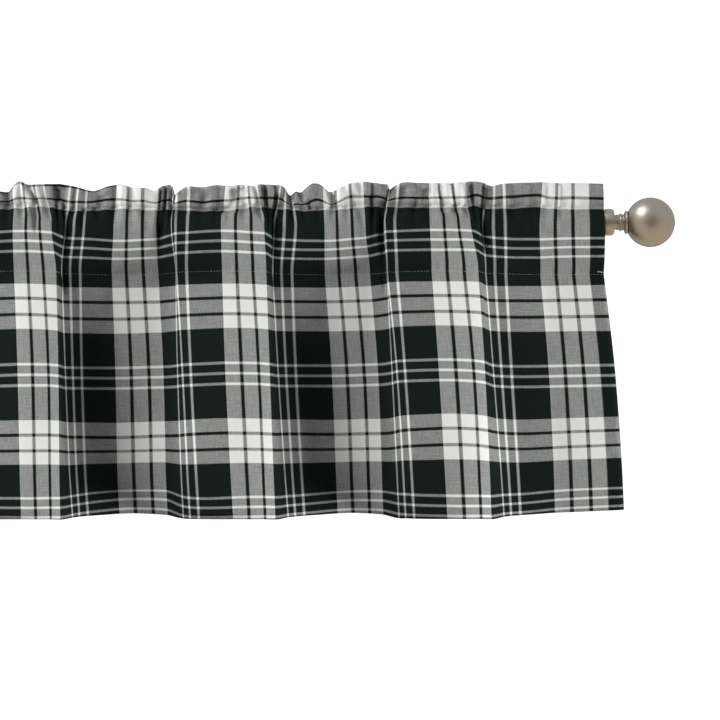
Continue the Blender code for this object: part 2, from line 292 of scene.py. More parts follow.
# The main creases of the heading and the pocket, soft troughs where "depth" is positive and ridges where
# it is negative. A crease runs from "start" to "end", counted down from the seam, and leans by "lean".
CREASES = table(
    "flat lean start end width depth",
    (70, 0.2, -28, 20, 7, 4),
    (132, -0.2, -20, 40, 8, 4),
    (206, 0.3, -28, 14, 5, 4),
    (262, -0.3, -28, 90, 9, 6),
    (300, 0.4, -14, 8, 4, -2.5),
    (372, 0.5, -28, 8, 6, 4),
    (430, -0.2, -28, 100, 9, 7),
    (455, 0, -10, 30, 6, 3),
    (520, 0.3, -14, 8, 4, -2.5),
    (560, 0, -28, 30, 8, 4),
    (600, -0.2, -28, 90, 9, 6),
    (688, 0, 3, 46, 5.5, 5),
    (695, 0.5, -28, 5, 6.5, 11),
    (735, 0, -28, -2, 8, 10),
    (753, 0, 8, 112, 6.5, 10),
    (777, -0.1, -3, 32, 5, 4),
    (790, 0.6, -8, 8, 3.5, 2.5),
    (797, 0.8, -8, 8, 3, -2.5),
    (803, 0, -22, -1, 6, 6),
    (846, 0.2, -6, 8, 4, -2),
    (853, 0.2, -6, 14, 4, 2.5),
    (875, -0.2, -28, -1, 8, 9),
    (889, -0.2, -28, 105, 9, 8.5),
    (893, 0, -28, 2, 6, 4),
    (903, -0.2, -26, -1, 7, 8),
    (942, 0, -28, -8, 7, 6),
    (957, 0, -24, -2, 6, 5),
    (965, 0, -9, 4, 9, -2.5),
    (980, 0.2, -7, 14, 3.5, 3.5),
    (990, 0.1, -28, -4, 7, 7),
    (999, 0.2, -28, -2, 10, 9),
    (1043, 0, -26, 4, 6, 8),
    (1067, 0, -20, 112, 8.5, 10),
    (1112, 0.5, -15, 7, 4, -3),
    (1119, 0.1, -14, 7, 3.5, 6),
    (1126, -0.4, -15, 7, 4, -3),
    (1150, 0, -28, 10, 5, 5),
    (1178, 0.2, -20, 9, 5, 7),
    (1190, 0.1, -15, 6, 5, -2),
    (1200, 0, -16, 4, 6, 6),
    (1214, -0.8, -15, 0, 3.5, -3),
    (1230, -0.1, -28, 110, 7, 11),
    (1268, 0.1, -28, -3, 7, 7),
    (1290, 0, -24, -2, 8, 7),
    (1316, 0.2, -28, 9, 5, 3),
    (1335, 0, -5, 12, 4, 3),
    (1362, 0.1, -28, 2, 7, 7),
    (1388, 0, -28, 66, 6.5, 10),
    (1457, 0.1, 3, 34, 5, 3),
    (1492, 0, -4, 16, 5, 1.5),
)

# How much lower than its straight place the sett hangs: at the heading's top edge, in its middle and at
# the seam
TOP_SLIPS = table(
    "flat top middle seam",
    (0, 1.2, 1.5, 1.2),
    (500, 0, 1.5, 1.2),
    (640, 1.5, 4.5, 4.5),
    (660, 1.5, 4, 4),
    (690, 1.2, 5, 1.5),
    (716, 1, 4.5, 1.2),
    (738, 1, 2, 1.2),
    (753, 1, 4, 1.2),
    (794, 1, -0.5, 1.2),
    (819, 0, 1.8, 1.2),
    (840, -1.5, 4.5, 2),
    (852, -1.5, 2, 1.2),
    (868, -1.5, 3.2, 2.2),
    (931, -1.8, 1.8, 1.2),
    (955, -1.8, 3, 1.2),
    (1001, -1.8, 0.2, 1.2),
    (1034, -1.8, 2.6, 1.2),
    (1072, -1.8, 0.2, 1.2),
    (1090, 0, 5.5, 2.5),
    (1112, 0, 6.5, 2.5),
    (1129, -1, 1.4, 1.2),
    (1140, 0, 4, 1.5),
    (1152, 0, 6, 2.5),
    (1171, -2, -1.2, 1.2),
    (1190, -2, 1.8, 0.5),
    (1213, -2, 0.8, 0.5),
    (1234, -1.5, 4.2, 1.5),
    (1258, -2, 3, 1.2),
    (1320, -2, 2.2, 1.2),
    (1351, -2, 2.6, 1.2),
    (1363, -2, -0.8, -3),
    (1398, -2, 0.4, 1.2),
    (1425, -2, 0.2, 1.2),
    (1450, -2, -1.2, -0.5),
    (1466, -2, 2, 1.5),
    (1490, -2, 0.6, 1.2),
    (FLAT_WIDTH, -2, 1.6, 1.2),
)

# The same at the pocket's middle, below the lower stitch line, at the knee, half way, low and at the hem
SLIP_LEVELS = (45.0, 92.0, 137.0, 195.0, 250.0, 311.0)
SLIPS = table(
    "flat pocket stitch knee middle low hem",
    (0, -2, 0, 1, 2, 3, 1),
    (182, -2, 0, 1, 2, 3, 0),
    (341, -1, 1, 2, 2, 3, 2),
    (500, -2, 0, 1, 2, 3, 0),
    (669, -1, 0, 2, 3.5, 6, 4),
    (716, -1.6, 0.5, 2.5, 2.5, 4.7, 2.5),
    (761, -0.4, 1, 3, 3.2, 5.8, 1.1),
    (783, -1.8, 0.6, 3, 3.5, 6.2, -1.7),
    (820, -2, 0, 3, 3.4, 6.5, -4.1),
    (842, -2, 0.2, 2.6, 3, 6.1, -4.1),
    (872, -2, 0.5, 2, 2.4, 4.6, -5),
    (925, -1.4, 0.2, 1.3, 1.8, 4.2, 3.2),
    (952, -2, 0, 1, 1.5, 3.1, 3.9),
    (1004, -0.2, 0, 1, 1.7, 4.1, 2),
    (1046, -0.6, 0.5, 1, 1.1, 3.3, 1.8),
    (1090, 1, 1, 1, 1.2, 2.5, 1.5),
    (1121, -0.7, 0.4, 0.7, 1.2, 3.5, -0.4),
    (1146, -2.5, 0, 0.5, 1.2, 3.5, -1.9),
    (1179, -3.6, -0.5, 0.2, 0.4, 3, -2.6),
    (1210, -4, -1, 0, -0.4, 2.5, -3),
    (1255, -4, -3, -2, -2.6, -0.5, 0),
    (1310, -1.6, -2, -1.5, -2.1, -1.5, 1.6),
    (1345, -4, -3, -1.2, -0.8, -0.1, 1.1),
    (1392, -1.9, 0, 1, 1.7, 1.4, 0.5),
    (1418, 0, -0.5, 2, 2.8, 3.5, 1),
    (1468, -3.5, -1.5, 1, 2, 1.5, -2.8),
    (1491, -3.5, -1.7, 1.1, 2, 1.1, -3),
    (FLAT_WIDTH, -3, -2, 1.2, 2, 0.5, -3),
)


def sections_across():
    """Every section of the cloth from its left edge to its right edge."""
    return LEFT_END + PLEAT[VALLEY_START:] + PLEAT * PLEAT_COUNT + PLEAT[:VALLEY_START] + RIGHT_END


def rounded(values, reach):
    """Values for each millimetre of cloth, averaged over the neighbours within about this reach."""
    half = math.ceil(3 * reach)
    weights = np.exp(-0.5 * (np.arange(-half, half + 1) / reach) ** 2)
    return np.convolve(np.pad(values, half, mode="edge"), weights / weights.sum(), mode="valid")


def by_millimetre(places, values, reach):
    """A table's column as a rounded line with a value for each millimetre of cloth."""
    return rounded(np.interp(np.arange(int(FLAT_WIDTH) + 1), places, values), reach)


def fold_line(level):
    """The cloth's line seen from above at one level (0 pocket, 1 knee, 2 hem): x and y by millimetre."""
    rows = sections_across()
    ends = np.cumsum([row.flat for row in rows])
    middles = np.arange(int(FLAT_WIDTH)) + 0.5
    index = np.minimum(np.searchsorted(ends, middles), len(rows) - 1)
    across = np.array([row[3 + level] for row in rows])
    out = np.array([row.side for row in rows]) * np.sqrt(1 - across**2) * DEPTH_SHARE[level]
    places = [fold.flat for fold in FOLDS]
    line = []
    for slope, wanted in (
        (across, [fold.x[level] for fold in FOLDS]),
        (-out, [fold.y[level] for fold in FOLDS]),
    ):
        run = np.concatenate([[0.0], np.cumsum(rounded(slope[index], FOLD_ROUNDING))])
        miss = np.array(wanted) - np.interp(places, np.arange(len(run)), run)
        line.append(run + by_millimetre(places, miss, FOLD_ROUNDING))
    return line


def eased(levels, curves, at):
    """The curve at one level, on a smooth course through the curves given at several levels."""
    upper = max(0, min(len(levels) - 2, int(np.searchsorted(levels, at)) - 1))
    slopes = np.gradient(np.array(curves), np.array(levels), axis=0)
    span = levels[upper + 1] - levels[upper]
    t = (at - levels[upper]) / span
    return (
        (2 * t**3 - 3 * t**2 + 1) * curves[upper]
        + (t**3 - 2 * t**2 + t) * span * slopes[upper]
        + (3 * t**2 - 2 * t**3) * curves[upper + 1]
        + (t**3 - t**2) * span * slopes[upper + 1]
    )


def run_along(points):
    """How far along a line each of its points lies."""
    return np.concatenate([[0.0], np.cumsum(np.linalg.norm(np.diff(points, axis=0), axis=1))])


def smooth_path(points, steps):
    """Points evenly spaced along a smooth line through the given points, steps + 1 in all."""
    points = np.array(points)
    knots = run_along(points)
    curve = np.array([eased(knots, points, at) for at in np.linspace(0.0, knots[-1], 300)])
    run = run_along(curve)
    at = np.linspace(0.0, run[-1], steps + 1)
    return np.stack([np.interp(at, run, curve[:, k]) for k in (0, 1)], axis=1)


# ---------------------------------------------------------------- the cloth's sheet
# The cloth is one sheet: up behind the rod, over the heading's top fold and down in front to the hem. The
# side hems and the bottom hem are turned to the rear, and fine gathers run down from the heading.
COLUMN = 2.28
CLOTH = 0.55
LAYER_GAP = 0.9
SAME_PLACE = 1.5  # columns closer than this across lie over each other
SOFTEN = (0.1, 0.2, 0.4, 0.2, 0.1)  # shares of a column and its neighbours
TOP_TURN, HEM_TURN = 0.45, 0.3  # how far the top fold and the hem's fold stand out
SIDE_HEM = 12.0
BOTTOM_HEM = 20.0
SEAM_ALLOWANCE = 6.0
HEADING_ROWS, POCKET_ROWS, SKIRT_ROWS = 11, 26, 34
BACK_ROWS, HEM_ROWS, FINE_SKIRT_ROWS = 11, 4, 4
GATHER_SEED = 11
GATHER_PITCH = (14.0, 25.0)
GATHER_HEIGHT = (0.45, 1.3)  # some stand lower and some higher
GATHER_LEAD = 30.0  # the first one starts this far outside the left edge
GATHER_DEPTH = 0.21  # of its pitch, where the cloth is pressed fully together
# How strong the gathers are by their distance below the upper stitch line
GATHER_LEVELS = (-27.5, -14.0, 0.0, 8.0, 20.0, 35.0, 60.0, 79.0, 95.0, 125.0, 170.0)
GATHER_SHARES = (0.8, 1.0, 1.15, 0.85, 0.42, 0.18, 0.11, 0.2, 0.1, 0.04, 0.0)
# Fine puckers, only near the two stitch lines
PUCKER_PITCH = (6.5, 12.0)
PUCKER_DEPTH = 0.10
PUCKER_REACH = 6.5
PUCKER_LOWER = 0.35  # how strong they are at the lower line, against the upper one
ROOM_ACROSS = (0.05, 0.35)  # reach across per millimetre of cloth where gathers start and are full
CREASE_EASE = 7.0  # over which a crease sets in
CREASE_FADE = (5.0, 0.25)  # over which it fades: a length, and a share of its own length
BACK_GATHER = 0.3  # share of the gathers in the layer behind the rod
SEAM_RISE, SEAM_FOLD = 0.6, 0.2  # how far the seam goes back where it is higher and where it folds back
DIP_BACK, DIP_DROP = 1.3, 0.8  # how late the heading's dips fold back and drop on the way up
FRONT_PULL, BACK_PULL = 18.0, 20.0  # how far below the seam the two layers still follow its height
LAYERS_MEET = 14.0  # over which the back layer comes to lie behind the front one
LEAST_FALL = 0.6  # of its own length, for a row of the skirt
ROD_CLEAR = 13.5  # nearest that the middle of the cloth comes to the rod's axis

columns = int(FLAT_WIDTH / COLUMN) // 2 * 2
flat = np.linspace(0.0, FLAT_WIDTH, columns + 1)
lines = [fold_line(level) for level in range(3)]
line_x = [np.interp(flat, np.arange(len(line[0])), line[0]) for line in lines]
line_y = [np.interp(flat, np.arange(len(line[1])), line[1]) for line in lines]
crest_y, valley_y = POCKET_FRONT[-1].crest[0], POCKET_FRONT[-1].valley[0]
blouse = np.clip((valley_y - line_y[0]) / (valley_y - crest_y), 0.0, 1.0)


def column_of(rows, name, reach=5.0):
    """A table's column as a value for every column of the mesh."""
    values = by_millimetre([row.flat for row in rows], [getattr(row, name) for row in rows], reach)
    return np.interp(flat, np.arange(len(values)), values)


shift_top, shift_pocket = column_of(SHIFTS, "top"), column_of(SHIFTS, "pocket")
top_z, seam_z = column_of(LEVELS, "top", reach=3.5), column_of(LEVELS, "seam", reach=7.0)
inside = np.array([np.exp(-(np.abs((flat - dip.flat) / dip.reach) ** 1.5)) for dip in DIPS])
drop = (inside * np.array([[dip.drop] for dip in DIPS])).max(axis=0)
fold_back = (inside * np.array([[dip.back] for dip in DIPS])).max(axis=0)
seam_y = POCKET_FRONT[0].crest[0] + SEAM_RISE * (seam_z - POCKET_FRONT[0].crest[1])
seam_y += SEAM_FOLD * fold_back


def creased(down):
    """How far the creases pull the cloth in, at a distance below the seam."""
    pulled = np.zeros(len(flat))
    for row in CREASES:
        fade = CREASE_FADE[1] * (row.end - row.start) + CREASE_FADE[0]
        ends = min(1.0, (down - row.start) / CREASE_EASE, (row.end - down) / fade)
        if ends > 0.0:
            ends = ends * ends * (3 - 2 * ends)
            pulled += ends * row.depth * np.exp(-(((flat - row.flat - row.lean * down) / row.width) ** 2))
    return pulled


gather_random = np.random.default_rng(GATHER_SEED)
seam_x = line_x[0] + (shift_top + shift_pocket) / 2
seam_slope = np.gradient(seam_x, flat)
slack = np.sqrt(np.clip(1 - seam_slope**2, 0.05, 1.0))
room_across = np.interp(seam_slope, ROOM_ACROSS, (0.0, 1.0))


def gather_wave(pitches, depth):
    """A wave with round crests and sharp valleys at uneven places, higher where the cloth is pressed."""
    count = int(1.3 * FLAT_WIDTH / min(pitches))
    pitch = gather_random.uniform(*pitches, count)
    place = np.cumsum(pitch) - GATHER_LEAD
    height = gather_random.uniform(*GATHER_HEIGHT, count)
    phase = np.interp(flat, place, np.arange(float(count)))
    wave = np.cos(2 * np.pi * phase) + 2 * np.abs(np.cos(np.pi * phase)) - 1.3
    return 0.5 * wave * np.interp(flat, place, pitch * height) * depth * slack * room_across


gather = gather_wave(GATHER_PITCH, GATHER_DEPTH)
pucker = gather_wave(PUCKER_PITCH, PUCKER_DEPTH)


def gathered(down):
    """How far the gathers and the puckers stand out, at a distance below the upper stitch line."""
    upper = math.exp(-((down / PUCKER_REACH) ** 2))
    lower = math.exp(-(((down - POCKET) / PUCKER_REACH) ** 2))
    share = np.interp(down, GATHER_LEVELS, GATHER_SHARES)
    return gather * share + pucker * (upper + PUCKER_LOWER * lower)


def front_x(down):
    """The cloth's x in the heading and the pocket, at a distance below the upper stitch line."""
    if down <= 0.0:
        share = -down / HEADING
        return line_x[0] + shift_top * (0.5 + 0.5 * share) + shift_pocket * (0.5 - 0.5 * share)
    peak = 20.0
    share = min(1.0, down / peak)
    fade = 1.0 - max(0.0, (down - peak) / (POCKET - peak))
    fade = fade * fade * (3 - 2 * fade)
    return line_x[0] + shift_top * 0.5 * (1 - share) + shift_pocket * (0.5 + 0.5 * share) * fade


def blended(table, steps):
    """Points down a layer of the pocket, for every column, between its crest and its valley."""
    crest = smooth_path([row.crest for row in table], steps)
    valley = smooth_path([row.valley for row in table], steps)
    return [np.outer(1 - blouse, low) + np.outer(blouse, high) for low, high in zip(valley, crest)]


front = []  # rows of the front layer, as (distance below the upper stitch line, points)
heading_path = smooth_path(HEADING_PATH, HEADING_ROWS)
for k in range(HEADING_ROWS, 0, -1):
    share = k / HEADING_ROWS
    down = -share * HEADING
    y = seam_y + heading_path[k][0] + fold_back * share**DIP_BACK + creased(down) - gathered(down)
    z = seam_z + heading_path[k][1] / heading_path[-1][1] * (top_z - seam_z) - drop * share**DIP_DROP
    front.append((down, np.stack([front_x(down), y, z], axis=1)))

for k, place in enumerate(blended(POCKET_FRONT, POCKET_ROWS)):
    down = k / POCKET_ROWS * POCKET
    near_seam = max(0.0, 1.0 - down / FRONT_PULL)
    y = place[:, 0] + (seam_y - POCKET_FRONT[0].crest[0]) * near_seam
    z = place[:, 1] + (seam_z - POCKET_FRONT[0].crest[1]) * near_seam
    y = np.where(k == POCKET_ROWS, line_y[0], y)
    reach = np.hypot(y, z)
    ease_in = 1.0 - near_seam
    out_y, out_z = -1.0 + ease_in * (1 + np.minimum(y / reach, 0)), ease_in * np.clip(z / reach, 0, 1)
    out = gathered(down) - creased(down)
    y, z = y + out_y * out, z + out_z * out
    pushed = np.maximum(1.0, ROD_CLEAR / np.hypot(y, z))
    front.append((down, np.stack([front_x(down), y * pushed, z * pushed], axis=1)))

levels = np.array([0.0, KNEE_DROP / SKIRT, 1.0])
hung = front[-1][1]
row_length = SKIRT / SKIRT_ROWS
for k in range(1, SKIRT_ROWS + 1):
    share = k / SKIRT_ROWS
    curl = max(0.0, (share - HEM_CURL_FROM) / (1 - HEM_CURL_FROM)) ** HEM_CURL_POWER
    kick = curl * (HEM_CURL + HEM_CURL_VALLEY * (1 - blouse))
    down = POCKET + share * SKIRT
    x, y = eased(levels, line_x, share), eased(levels, line_y, share) + kick
    slide = (x - hung[:, 0]) ** 2 + (y - hung[:, 1]) ** 2 if k > 1 else 0.0
    fall = np.sqrt(np.maximum(row_length**2 - slide, (LEAST_FALL * row_length) ** 2))
    hung = np.stack([x, y, hung[:, 2] - fall], axis=1)
    front.append((down, hung + np.outer(creased(down) - gathered(down), (0.0, 1.0, 0.0))))


def rear_normals(rows):
    """Unit normals of a grid of rows that run down the cloth's face, pointing to its rear side."""
    grid = np.array(rows)
    cross = np.cross(np.gradient(grid, axis=1), np.gradient(grid, axis=0))
    return cross / np.linalg.norm(cross, axis=2, keepdims=True)


front_points = [points for _, points in front]
normal = rear_normals(front_points)
edge_distance = np.minimum(flat, FLAT_WIDTH - flat)
widened = np.clip(1.5 - edge_distance / SIDE_HEM, 0.0, 1.0)  # the side hem's turn lies in between there
layer_gap = LAYER_GAP * (1.1 + 2.0 * widened)[:, None]


def cleared(row, middle):
    """A rear row, moved back where a fold of the front rows about a middle one would come through."""
    ahead = np.concatenate(front_points[max(0, middle - 1) : middle + 2])
    over = np.abs(row[:, None, 0] - ahead[None, :, 0]) < SAME_PLACE
    rearmost = np.where(over, ahead[None, :, 1], -np.inf).max(axis=1)
    y = np.maximum(row[:, 1], rearmost + LAYER_GAP)
    y = np.maximum(y, np.convolve(np.pad(y, 2, mode="edge"), SOFTEN, mode="valid"))
    return np.stack([row[:, 0], y, row[:, 2]], axis=1)


# Behind the rod, from the lower stitch line up to the heading
back = []
back_path = blended(POCKET_BACK, BACK_ROWS)
for k in range(BACK_ROWS, 0, -1):
    down = k / BACK_ROWS * POCKET
    near_seam = max(0.0, 1.0 - down / BACK_PULL)
    y = back_path[k][:, 0] - gathered(down) * (BACK_GATHER + (1 - BACK_GATHER) * near_seam)
    z = back_path[k][:, 1] + (seam_z - POCKET_BACK[0].crest[1]) * near_seam
    pushed = np.maximum(1.0, ROD_CLEAR / np.hypot(y, z))
    row = np.stack([front_x(down), y * pushed, z * pushed], axis=1)
    behind = max(0.0, (down - POCKET + LAYERS_MEET) / LAYERS_MEET)
    row += normal[HEADING_ROWS + POCKET_ROWS] * layer_gap * behind
    if near_seam > 0.0:
        row = cleared(row, HEADING_ROWS)
    back.append((-2 * HEADING - down, row))
tail = []
for share in (1.0, 0.5):
    k = HEADING_ROWS + POCKET_ROWS + 1
    row = front_points[k] * share + front_points[k - 1] * (1 - share)
    tail.append((-2 * HEADING - POCKET - SEAM_ALLOWANCE * share, row + normal[k] * layer_gap))
heading_rear = [
    (-2 * HEADING - down, cleared(points + normal[k] * layer_gap, k))
    for k, (down, points) in enumerate(front[: HEADING_ROWS + 1])
][::-1]
fold = (front_points[0] + heading_rear[-1][1]) / 2 + np.array([0.0, 0.0, TOP_TURN])

# Behind the hem, from its edge up
edge = front_points[-1] + normal[-1] * layer_gap / 2 - np.array([0.0, 0.0, HEM_TURN])
turned_hem = [(POCKET + SKIRT + LAYER_GAP, edge)]
for k in range(1, HEM_ROWS + 1):
    up = BOTTOM_HEM * k / HEM_ROWS
    at = len(front) - 1 - up / SKIRT * SKIRT_ROWS
    low, share = int(at), at - int(at)
    row = front_points[low] * (1 - share) + front_points[low + 1] * share
    turned_hem.append((POCKET + SKIRT + up, row + normal[low] * layer_gap))

cloth_rows = tail + back + heading_rear + [(-HEADING, fold)] + front + turned_hem
first_front = len(tail) + len(back) + len(heading_rear) + 1
fine_from = first_front - 1
fine_to = first_front + HEADING_ROWS + POCKET_ROWS + FINE_SKIRT_ROWS

# The side hems, turned to the rear
grid = np.array([points for _, points in cloth_rows])
downs = np.array([down for down, _ in cloth_rows])
grid_normal = rear_normals(grid)
hem_columns = (4, 3, 2, 1)


def turned(column, step):
    """A column of the side hem, behind the one this many steps in from the edge."""
    return grid[:, column + step] + grid_normal[:, column + step] * LAYER_GAP


left_hem = np.stack([turned(0, step) for step in hem_columns], axis=1)
right_hem = np.stack([turned(columns, -step) for step in reversed(hem_columns)], axis=1)
grid = np.concatenate([left_hem, grid, right_hem], axis=1)
flat_left = [-flat[step] for step in hem_columns]
flat_right = [2 * FLAT_WIDTH - flat[columns - step] for step in reversed(hem_columns)]
flat_all = np.concatenate([flat_left, flat, flat_right])


def sheet_mesh(name, points, places, fine):
    """A mesh of a grid of rows, with its UVs. A row that isn't fine keeps every second point."""
    kept = [np.arange(0, points.shape[1], 1 if is_fine else 2) for is_fine in fine]
    start = np.cumsum([0] + [len(row) for row in kept])
    verts = np.concatenate([points[r][row] for r, row in enumerate(kept)]) * MM
    places = np.concatenate([places[r][row] for r, row in enumerate(kept)])
    faces = []
    for r in range(len(kept) - 1):
        a, b = int(start[r]), int(start[r + 1])
        here, below = fine[r], fine[r + 1]
        count = min(len(kept[r]), len(kept[r + 1])) - 1
        for k in range(count):
            if here == below:
                faces.append((a + k, b + k, b + k + 1, a + k + 1))
            elif here:
                faces.append((a + 2 * k, b + k, b + k + 1, a + 2 * k + 2, a + 2 * k + 1))
            else:
                faces.append((a + k, b + 2 * k, b + 2 * k + 1, b + 2 * k + 2, a + k + 1))
    mesh = bpy.data.meshes.new(name)
    mesh.from_pydata(verts.tolist(), [], faces)
    layer = mesh.uv_layers.new(name="flat cloth")
    corner = np.zeros(len(mesh.loops), dtype=np.int32)
    mesh.loops.foreach_get("vertex_index", corner)
    layer.data.foreach_set("uv", (places[corner] * MM).astype(np.float32).ravel())
    mesh.shade_smooth()
    return mesh


# The cloth's own flat places, with the sett's slip
slip_places = [-HEADING, -HEADING / 2, 0.0, *SLIP_LEVELS, POCKET + SKIRT + BOTTOM_HEM]
slips = [column_of(TOP_SLIPS, name, reach=4.0) for name in TOP_SLIPS[0]._fields[1:]]
slips += [column_of(SLIPS, name, reach=12.0) for name in SLIPS[0]._fields[1:]]
slips = np.array([*slips, np.zeros(len(flat))])
flat_places = []
for down in downs:
    slip = [np.interp(down, slip_places, slips[:, k]) for k in range(len(flat))]
    slip = np.concatenate([slip[: len(hem_columns)], slip, slip[-len(hem_columns) :]])
    flat_places.append(np.stack([flat_all, down - slip], axis=1))
fine = [fine_from <= r <= fine_to for r in range(len(downs))]
valance_mesh = sheet_mesh("valance_cloth", grid, np.array(flat_places), fine)
valance = in_scene("valance_cloth", valance_mesh)
thickness = valance.modifiers.new("thickness", "SOLIDIFY")
thickness.thickness = CLOTH * MM
thickness.offset = 0.0

# ---------------------------------------------------------------- the cloth's plaid
# Warp and weft yarns are off-white and black. Each is set out in bands and narrow lines, and where a
# light yarn crosses a dark one the twill looks grey. The weave is a fine diagonal with slubs in it.
Band = namedtuple("Band", "start end")
WARP_REPEAT = 159.3
WARP_START = 22.4
WARP_LIGHT = (
    Band(0.0, 15.0),
    Band(18.8, 34.0),
    Band(37.8, 52.8),
    Band(92.1, 95.2),
    Band(104.6, 107.7),
    Band(117.0, 120.1),
)
WEFT_REPEAT = 135.0
WEFT_START = 92.0
WEFT_LIGHT = (
    Band(0.0, 12.9),
    Band(16.1, 29.1),
    Band(32.3, 45.0),
    Band(79.1, 81.7),
    Band(89.6, 92.2),
    Band(100.1, 102.7),
)
YARN_EDGE = 0.5
LIGHT_YARN = (0.80, 0.81, 0.785)
DARK_YARN = (0.0095, 0.0135, 0.0122)
WARP_ONLY, WEFT_ONLY = 0.36, 0.30
SLUB_FINE, SLUB_LONG = 900.0, 60.0  # to the metre, across a yarn and along it
FLECKS = 620.0
TWILL_PITCH = 1.6
UNEVEN_SHARE, TWILL_SHARE = 0.24, 0.03
SLUB_SHADE = 0.06


class Nodes:
    """Adds nodes one by one to a tree and links them."""

    def __init__(self, tree):
        self.tree = tree
        self.shader = tree.nodes.get("Principled BSDF")

    def add(self, kind, inputs=None, **settings):
        node = self.tree.nodes.new(kind)
        for name, value in settings.items():
            setattr(node, name, value)
        for name, value in (inputs or {}).items():
            self.put(node.inputs[name], value)
        return node

    def put(self, socket, value):
        if isinstance(value, bpy.types.NodeSocket):
            self.tree.links.new(value, socket)
        else:
            socket.default_value = value

    def math(self, operation, *values, clamp=False):
        node = self.add("ShaderNodeMath", operation=operation, use_clamp=clamp)
        for socket, value in zip(node.inputs, values):
            self.put(socket, value)
        return node.outputs[0]

    def mix(self, factor, first, second, blend="MIX"):
        node = self.add("ShaderNodeMix", data_type="RGBA", blend_type=blend)
        for k, value in ((0, factor), (6, first), (7, second)):
            self.put(node.inputs[k], value)
        return node.outputs[2]

    def noise(self, vector, scale, detail=2.0):
        node = self.add("ShaderNodeTexNoise", {"Scale": scale, "Detail": detail, "Vector": vector})
        return node.outputs["Fac"]

    def finish(self, **values):
        """Sets the shader's inputs, named with an underscore for each space."""
        for name, value in values.items():
            self.put(self.shader.inputs[name.replace("_", " ")], value)


def new_finish(name):
    """A new material and its nodes."""
    made = bpy.data.materials.new(name)
    made.use_nodes = True
    return made, Nodes(made.node_tree)


def light_bands(nodes, place, repeat, start, bands):
    """1 on the light yarns of a repeat and 0 on the dark ones."""
    repeats = nodes.math("DIVIDE", nodes.math("SUBTRACT", place, start * MM), repeat * MM)
    share = nodes.math("FRACT", repeats)
    ramp = nodes.add("ShaderNodeValToRGB", {"Fac": share})
    stops = [(0.0, bands[0].start == 0.0)]
    for band in bands:
        if band.start > 0.0:
            stops += [(band.start - YARN_EDGE / 2, 0), (band.start + YARN_EDGE / 2, 1)]
        stops += [(band.end - YARN_EDGE / 2, 1), (band.end + YARN_EDGE / 2, 0)]
    elements = ramp.color_ramp.elements
    for position, light in stops:
        spot = elements.new(position / repeat) if position > 0.0 else elements[0]
        spot.color = (light, light, light, 1.0)
    elements[-1].color = (0.0, 0.0, 0.0, 1.0)
    return ramp.outputs["Color"]


plaid, nodes = new_finish("plaid_twill")
cloth_uv = nodes.add("ShaderNodeUVMap", uv_map="flat cloth").outputs["UV"]
parts = nodes.add("ShaderNodeSeparateXYZ", {"Vector": cloth_uv})
across, down = parts.outputs["X"], parts.outputs["Y"]
warp = light_bands(nodes, across, WARP_REPEAT, WARP_START, WARP_LIGHT)
weft = light_bands(nodes, down, WEFT_REPEAT, WEFT_START, WEFT_LIGHT)


def stretched(x_scale, y_scale):
    """The cloth's flat place, scaled across and along the warp."""
    scale = (x_scale, y_scale, 1.0)
    return nodes.add("ShaderNodeMapping", {"Vector": cloth_uv, "Scale": scale}).outputs[0]


warp_slub = nodes.noise(stretched(SLUB_FINE, SLUB_LONG), 1.0)
weft_slub = nodes.noise(stretched(SLUB_LONG, SLUB_FINE), 1.0)
fleck = nodes.noise(stretched(FLECKS, FLECKS), 1.0, 3.0)
diagonal = nodes.math("MULTIPLY", nodes.math("ADD", across, down), 2 * math.pi / (TWILL_PITCH * MM))
twill = nodes.math("SINE", diagonal)
slub_difference = nodes.math("SUBTRACT", warp_slub, weft_slub)
uneven = nodes.math("ADD", slub_difference, nodes.math("SUBTRACT", fleck, 0.5))
uneven = nodes.math("MULTIPLY", uneven, UNEVEN_SHARE)
uneven = nodes.math("ADD", uneven, nodes.math("MULTIPLY", twill, TWILL_SHARE))
both = nodes.math("MULTIPLY", warp, weft)
only_warp = nodes.math("SUBTRACT", warp, both)
only_weft = nodes.math("SUBTRACT", weft, both)
grey = nodes.math(
    "ADD",
    nodes.math("MULTIPLY", only_warp, nodes.math("ADD", WARP_ONLY, uneven)),
    nodes.math("MULTIPLY", only_weft, nodes.math("ADD", WEFT_ONLY, uneven)),
)
light_share = nodes.math("ADD", grey, both, clamp=True)
yarns = nodes.mix(light_share, (*DARK_YARN, 1.0), (*LIGHT_YARN, 1.0))
slubs = nodes.math("ADD", warp_slub, weft_slub)
shade = nodes.math("ADD", 1 - SLUB_SHADE, nodes.math("MULTIPLY", slubs, SLUB_SHADE))
weave_height = nodes.math("ADD", nodes.math("MULTIPLY", twill, 0.25), slubs)
bump = nodes.add("ShaderNodeBump", {"Strength": 0.25, "Distance": 0.0004, "Height": weave_height})
nodes.finish(Base_Color=nodes.mix(1.0, yarns, shade, "MULTIPLY"), Normal=bump.outputs["Normal"])
nodes.finish(Roughness=0.92, Specular_IOR_Level=0.02)
valance_mesh.materials.append(plaid)

# ---------------------------------------------------------------- the stitching
# Off-white sewing thread in short lock stitches, sunk into the cloth, along the two lines that make the
# rod pocket. The lower line ends in a short tail of thread at the right side hem.
STITCH_PITCH = 3.4
STITCH_LENGTH = 2.5
STITCH_WIDTH = 0.26
STITCH_SUNK = 0.03
THREAD_COLOURS = ((0.40, 0.41, 0.39, 1.0), (0.56, 0.57, 0.54, 1.0))

thread, thread_nodes = new_finish("sewing_thread")
strands = thread_nodes.noise(thread_nodes.add("ShaderNodeTexCoord").outputs["Object"], 900.0)
thread_nodes.finish(Base_Color=thread_nodes.mix(strands, *THREAD_COLOURS), Roughness=0.6)


